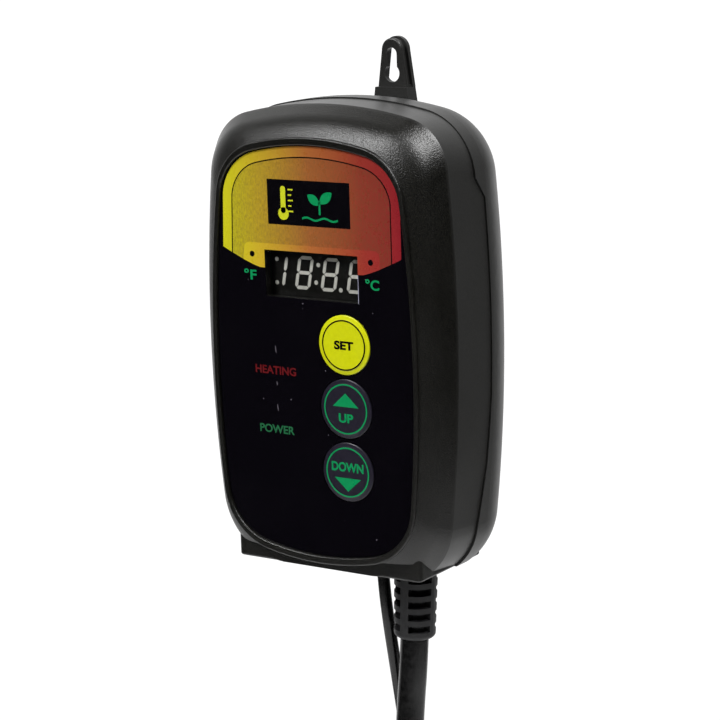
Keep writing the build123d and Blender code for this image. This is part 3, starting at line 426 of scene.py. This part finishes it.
# Half of the warm panel's lower edge: a shallow bowl on each side of the window.
BOWL = ((14.95, 36.45), (16.6, 36.5), (18.3, 36.95), (21.3, 38.05), (26.5, 40.35), (31.5, 42.8))
WINDOW_HALF, WINDOW_LOW, WINDOW_HIGH = 14.95, 28.7, 41.35
PANEL_MIDDLE = 40.0


def bowl(x):
    x = abs(x)
    for (x0, z0), (x1, z1) in zip(BOWL, BOWL[1:]):
        if x <= x1:
            return z0 + (z1 - z0) * max(x - x0, 0.0) / (x1 - x0)
    return BOWL[-1][1]


def above_bowl(outline):
    """The part of an outline above the bowl, closed along it and round the window."""
    kept = [(x, z) for x, z in outline if z > bowl(x)]
    kept.sort(key=lambda p: math.atan2(p[1] - PANEL_MIDDLE, p[0]))
    edge = kept[0][0]
    lower = [(x, z) for x, z in BOWL if x < edge]
    lower.append((edge, bowl(edge)))
    notch = [(-WINDOW_HALF, WINDOW_HIGH), (WINDOW_HALF, WINDOW_HIGH)]
    return [(-x, z) for x, z in reversed(lower)] + notch + lower + kept


def shifted(outline, across=0.3):
    """The print sits a little off the label's middle."""
    return [(x + across, z) for x, z in outline]


def rounded_box(x0, x1, z0, z1, radius, steps=8):
    return (arc(x1 - radius, z1 - radius, radius, 0, 90, steps)
            + arc(x0 + radius, z1 - radius, radius, 90, 180, steps)
            + arc(x0 + radius, z0 + radius, radius, 180, 270, steps)
            + arc(x1 - radius, z0 + radius, radius, 270, 360, steps))


def leaf(x, z, length, width, tilt, steps=14):
    """A pointed leaf that grows from (x, z)."""
    along = [i / steps for i in range(steps + 1)]
    outline = [(length * t, width * math.sin(math.pi * t) ** 0.8) for t in along]
    outline += [(u, -v) for u, v in reversed(outline[1:-1])]
    c, s = math.cos(math.radians(tilt)), math.sin(math.radians(tilt))
    return [(x + u * c - v * s, z + u * s + v * c) for u, v in outline]


def wave(x0, z, length, swing, thick, steps=28):
    """A wavy stroke of even thickness."""
    along = [i / steps for i in range(steps + 1)]
    line = [(x0 + length * t, z + swing * math.sin(4 * math.pi * t)) for t in along]
    return [(x, w + thick / 2) for x, w in line] + [(x, w - thick / 2) for x, w in reversed(line)]


INK = {
    "black": printed("ink_black", (0.0022, 0.0018, 0.003), 0.18),
    "green": printed("ink_green", (0.003, 0.28, 0.088)),
    "dim_green": printed("ink_dim_green", (0.016, 0.13, 0.05)),
    "dim_red": printed("ink_dim_red", (0.13, 0.006, 0.008)),
    "yellow": printed("ink_yellow", (0.62, 0.66, 0.02)),
    "pale": printed("cut_edge", (0.42, 0.42, 0.55)),
    # A painted highlight colour, for the glints on the unlit lamps.
    "glint": printed("lamp_glint", (0.11, 0.10, 0.12)),
}

def on_label(ink):
    return {"slot": "label", "material": ink}


# The print lies in thin layers, and each stands a little prouder than the one under it.
BAND_PROUD, BADGE_PROUD, MARK_PROUD = 0.022, 0.026, 0.030
for name, inset, proud, ink in (
        ("panel_border", 0.25, 0.010, warm_print("warm_border", False, 1.0)),
        ("panel_line", 3.1, 0.014, INK["black"]),
        ("panel_brushed", 3.45, 0.018, warm_print("warm_brushed", True, 0.9))):
    inlay(name, [above_bowl(shifted(label_outline(inset)))], proud, **on_label(ink))
band = above_bowl(rounded_box(-21.6, 21.9, 30.0, 43.1, 1.7))
inlay("display_band", [band], BAND_PROUD, **on_label(warm_print("warm_band", False, 1.05)))

UNIT_LAMP_X, UNIT_LAMP_Z, UNIT_LAMP_R = 19.03, 39.95, 0.8
unit_holes = [disc(x, UNIT_LAMP_Z, UNIT_LAMP_R, 24) for x in (-UNIT_LAMP_X, UNIT_LAMP_X)]
inlay("unit_holes", unit_holes, BADGE_PROUD, **on_label(INK["black"]))

badge = rounded_box(-13.3, 13.1, 48.4, 60.5, 0.15)
inlay("badge_ground", [badge], BADGE_PROUD, **on_label(INK["black"]))
TICK_LOW, TICK_PITCH, TICK_THICK = 51.9, 1.45, 0.4
thermometer = [rounded_box(-9.0, -7.4, 51.5, 58.8, 0.79), disc(-8.2, 51.4, 1.7)]
for i in range(5):
    tick_z, tick_end = TICK_LOW + TICK_PITCH * i, -5.0 - 0.5 * (i % 2)
    thermometer.append(rounded_box(-6.6, tick_end, tick_z, tick_z + TICK_THICK, 0.1))
inlay("thermometer", thermometer, MARK_PROUD, **on_label(INK["yellow"]))
sprout = [rounded_box(3.2, 3.8, 51.6, 55.4, 0.25), leaf(3.5, 54.6, 5.0, 1.35, 38),
          leaf(3.5, 54.2, 4.6, 1.25, 145), wave(-2.2, 50.4, 11.4, 0.35, 0.55)]
inlay("sprout", sprout, MARK_PROUD, **on_label(INK["green"]))

LEGEND_BOLD = 0.025
for name, text, x, z, height, width, ink in (
        ("legend_heating", "HEATING", -12.7, 8.5, 2.3, 13.4, "dim_red"),
        ("legend_power", "POWER", -12.9, -7.85, 2.3, 11.5, "dim_green"),
        ("legend_f", "\u00b0F", -19.9, 34.3, 2.9, 4.1, "green"),
        ("legend_c", "\u00b0C", 19.4, 34.1, 2.9, 4.3, "green")):
    lettering(name, text, x, z, height, width, LEGEND_BOLD, **on_label(INK[ink]))

# A thin pale bluish line along the window's right edge.
cut_edge = rounded_box(14.87, 15.02, WINDOW_LOW, 36.4, 0.05)
inlay("window_cut_edge", [cut_edge], **on_label(INK["pale"]))
# Painted highlights: glints on the unlit lamps under the film, as slivers in one column: middle height and
# length of each.
LAMP_X, GLINT_HALF, GLINT_TILT = -12.3, 0.17, 97
glints = [leaf(LAMP_X, z - long / 2, long, GLINT_HALF, GLINT_TILT)
          for z, long in ((14.3, 2.2), (4.9, 1.2), (-1.8, 2.0))]
inlay("lamp_glints", glints, **on_label(INK["glint"]))

# ---- print on the keys ----
KEY_LEVEL = -0.4
KEY_X, KEY_Z = 9.96, {"set": 17.3, "up": 0.0, "down": -17.3}
RING_OUTER, RING_INNER = 6.85, 6.45
PRINT_X = 10.0


def on_key(key):
    ink = INK["black" if key == "set" else "green"]
    return {"level": KEY_LEVEL, "body": f"{key}_key", "slot": SLOT_OF[f"{key}_button"], "material": ink}


for key, z in KEY_Z.items():
    ring_inlay(f"{key}_ring", disc(KEY_X, z, RING_OUTER), disc(KEY_X, z, RING_INNER), **on_key(key))
for key, z, height, width, bold in (
        ("set", 17.25, 2.4, 6.1, 0.045), ("up", -2.5, 2.5, 4.6, 0.035), ("down", -15.9, 2.6, 10.2, 0.035)):
    lettering(f"{key}_text", key.upper(), PRINT_X, z, height, width, bold, **on_key(key))
for key, base, tip, half in (("up", 0.6, 4.3, 4.1), ("down", -18.9, -22.6, 4.2)):
    arrow = [(PRINT_X - half, base), (PRINT_X + half, base), (PRINT_X, tip)]
    inlay(f"{key}_arrow", [arrow], **on_key(key))

# ---- camera ----
AZIMUTH, ELEVATION, ROLL = (math.radians(v) for v in (33.914, 11.69, -1.778))
CAMERA_PLACE, FOCAL_LENGTH, SENSOR_WIDTH = (0.36182, -0.55905, 0.05743), 120.6, 36.0
back = Vector((math.sin(AZIMUTH) * math.cos(ELEVATION), -math.cos(AZIMUTH) * math.cos(ELEVATION),
               math.sin(ELEVATION)))
level = Vector((math.cos(AZIMUTH), math.sin(AZIMUTH), 0))
upright = back.cross(level)
right = level * math.cos(ROLL) + upright * math.sin(ROLL)
up = upright * math.cos(ROLL) - level * math.sin(ROLL)
camera = bpy.data.objects.new("camera", bpy.data.cameras.new("camera"))
bpy.context.scene.collection.objects.link(camera)
camera.data.sensor_width = SENSOR_WIDTH
camera.data.lens = FOCAL_LENGTH
camera.data.clip_start = 0.01
camera.data.clip_end = 20.0
turn = Matrix((right, up, back)).transposed().to_4x4()
camera.matrix_world = Matrix.Translation(CAMERA_PLACE) @ turn
bpy.context.scene.camera = camera


# ---- cords ----
def spline_cord(name, points, radius, **where):
    curve = bpy.data.curves.new(name, "CURVE")
    curve.dimensions = "3D"
    curve.bevel_depth = radius
    curve.bevel_resolution = 8
    curve.resolution_u = 10
    curve.use_fill_caps = True
    spline = curve.splines.new("NURBS")
    spline.points.add(len(points) - 1)
    for target, point in zip(spline.points, points):
        target.co = (*point, 1.0)
    spline.order_u = 3
    spline.use_endpoint_u = True
    return add_object(name, curve, **where)


def coil_turns(centre, passes, start, per_turn=14):
    """Clockwise turns in the wall's plane; each pass is (depth, first radius, last radius, turns).

    The points lie a little outside the turns' radius, because the spline cuts inside them.
    """
    points, angle = [], math.radians(start)
    step = math.radians(360.0 / per_turn)
    outside = 1.0 / math.cos(step / 2) ** 0.9
    for depth, first, last, turns in passes:
        count = round(turns * per_turn)
        for i in range(count):
            radius = (first + (last - first) * i / (count - 1)) * outside
            points.append((centre[0] + radius * math.cos(angle), depth, centre[1] + radius * math.sin(angle)))
            angle -= step
    return points


MAINS_RADIUS, PROBE_RADIUS = 0.00395, 0.00175
MAINS_LEAD = [
    (0.0162, -0.0220, -0.15256), (0.0155, -0.0220, -0.1625), (0.0144, -0.0221, -0.1725),
    (0.0137, -0.0226, -0.1850), (0.0154, -0.0236, -0.1995), (0.0200, -0.0248, -0.2135),
    (0.0253, -0.0256, -0.2270),
]
MAINS_TURNS = coil_turns((-0.022, -0.249), [
    (-0.0259, 0.0515, 0.0361, 3.0), (-0.0179, 0.0361, 0.0515, 2.9)], 10.0)
MAINS_TAIL = [
    (0.0305, -0.0179, -0.2680), (0.0303, -0.0180, -0.2790), (0.0300, -0.0179, -0.2890),
    (0.0300, -0.0179, -0.2970),
]
mains = spline_cord("mains_lead", MAINS_LEAD + MAINS_TURNS + MAINS_TAIL, MAINS_RADIUS,
                    material=MATERIALS["cord_rubber"], slot="cord_rubber")
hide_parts("mains_cord", "mains_coil", "mains_tail")

PROBE_LEAD = [
    (0.0061, -0.0220, -0.13236), (0.0063, -0.0216, -0.1410), (0.0067, -0.0204, -0.1515),
    (0.0069, -0.0184, -0.1625), (0.0066, -0.0156, -0.1740), (0.0060, -0.0124, -0.1860),
    (0.0048, -0.0096, -0.1985), (0.0028, -0.0078, -0.2120), (0.0002, -0.0072, -0.2260),
    (-0.0030, -0.0072, -0.2410), (-0.0062, -0.0075, -0.2570), (-0.0092, -0.0078, -0.2730),
    (-0.0120, -0.0081, -0.2890), (-0.0142, -0.0084, -0.3040), (-0.0158, -0.0087, -0.3180),
]
PROBE_TURNS = coil_turns((-0.040, -0.334), [
    (-0.0088, 0.0233, 0.0165, 3.0), (-0.0123, 0.0165, 0.0233, 3.0),
    (-0.0158, 0.0233, 0.0165, 3.0), (-0.0193, 0.0165, 0.0233, 2.95)], 5.0)
PROBE_TAIL = [
    (-0.0163, -0.0193, -0.3430), (-0.0165, -0.0193, -0.3485), (-0.0165, -0.0193, -0.3530),
]
probe = spline_cord("probe_lead_line", PROBE_LEAD + PROBE_TURNS + PROBE_TAIL, PROBE_RADIUS,
                    material=MATERIALS["cord_rubber"], slot="cord_rubber")
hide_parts("probe_cable", "probe_coil", "probe_tail")


# ---- room and light ----
def area_light(name, position, target, size, power):
    light = bpy.data.lights.new(name, "AREA")
    light.shape = "RECTANGLE"
    light.size, light.size_y = size
    light.energy = power
    lamp = bpy.data.objects.new(name, light)
    bpy.context.scene.collection.objects.link(lamp)
    aim = Vector(target) - Vector(position)
    lamp.matrix_world = Matrix.Translation(position) @ aim.to_track_quat("-Z", "Y").to_matrix().to_4x4()


area_light("overhead_softbox", (0.66, -0.12, 0.95), (0.0, 0.0, -0.1), (0.5, 0.42), 19.0)
area_light("front_softbox", (-0.45, -1.0, 0.95), (0.0, -0.03, -0.1), (0.5, 0.5), 22.0)

# A pale wall stands behind the object and to its left, and the rest of the room is dim.
WALL_TOWARDS, WALL_EDGES, WALL_LEVELS = (-0.56, 0.82, 0.06), (0.3, 0.92), (0.012, 1.1)
world = bpy.data.worlds.new("studio")
bpy.context.scene.world = world
world.use_nodes = True
sky = world.node_tree
heading = sky.nodes.new("ShaderNodeTexCoord")
towards = sky.nodes.new("ShaderNodeVectorMath")
towards.operation = "DOT_PRODUCT"
towards.inputs[1].default_value = WALL_TOWARDS
behind = sky.nodes.new("ShaderNodeMapRange")
behind.interpolation_type = "SMOOTHSTEP"
for label, value in zip(("From Min", "From Max", "To Min", "To Max"), WALL_EDGES + WALL_LEVELS):
    behind.inputs[label].default_value = value
seen = sky.nodes.new("ShaderNodeLightPath")
either = sky.nodes.new("ShaderNodeMath")
either.operation = "MAXIMUM"
sky.links.new(heading.outputs["Generated"], towards.inputs[0])
sky.links.new(towards.outputs["Value"], behind.inputs["Value"])
sky.links.new(behind.outputs["Result"], either.inputs[0])
sky.links.new(seen.outputs["Is Camera Ray"], either.inputs[1])
sky.nodes["Background"].inputs["Color"].default_value = (1.0, 1.0, 1.0, 1.0)
sky.links.new(either.outputs["Value"], sky.nodes["Background"].inputs["Strength"])

FLOOR_RADIUS, FLOOR_GAP = 0.55, 0.03
floor_mesh = bmesh.new()
bmesh.ops.create_circle(floor_mesh, cap_ends=True, segments=96, radius=FLOOR_RADIUS)
floor_data = bpy.data.meshes.new("floor")
floor_mesh.to_mesh(floor_data)
floor_mesh.free()
floor = bpy.data.objects.new("floor", floor_data)
bpy.context.scene.collection.objects.link(floor)
floor.location = (0.0, 0.0, cad_box[0].z - FLOOR_GAP)
pale = Recipe("pale_floor", Roughness=0.8)
pale.colour(pale.ramp(pale.noise(6.0), (0.3, (0.86, 0.86, 0.86)), (0.7, (0.90, 0.90, 0.90))))
floor_data.materials.append(pale.material)
bpy.context.scene.view_settings.view_transform = "Standard"
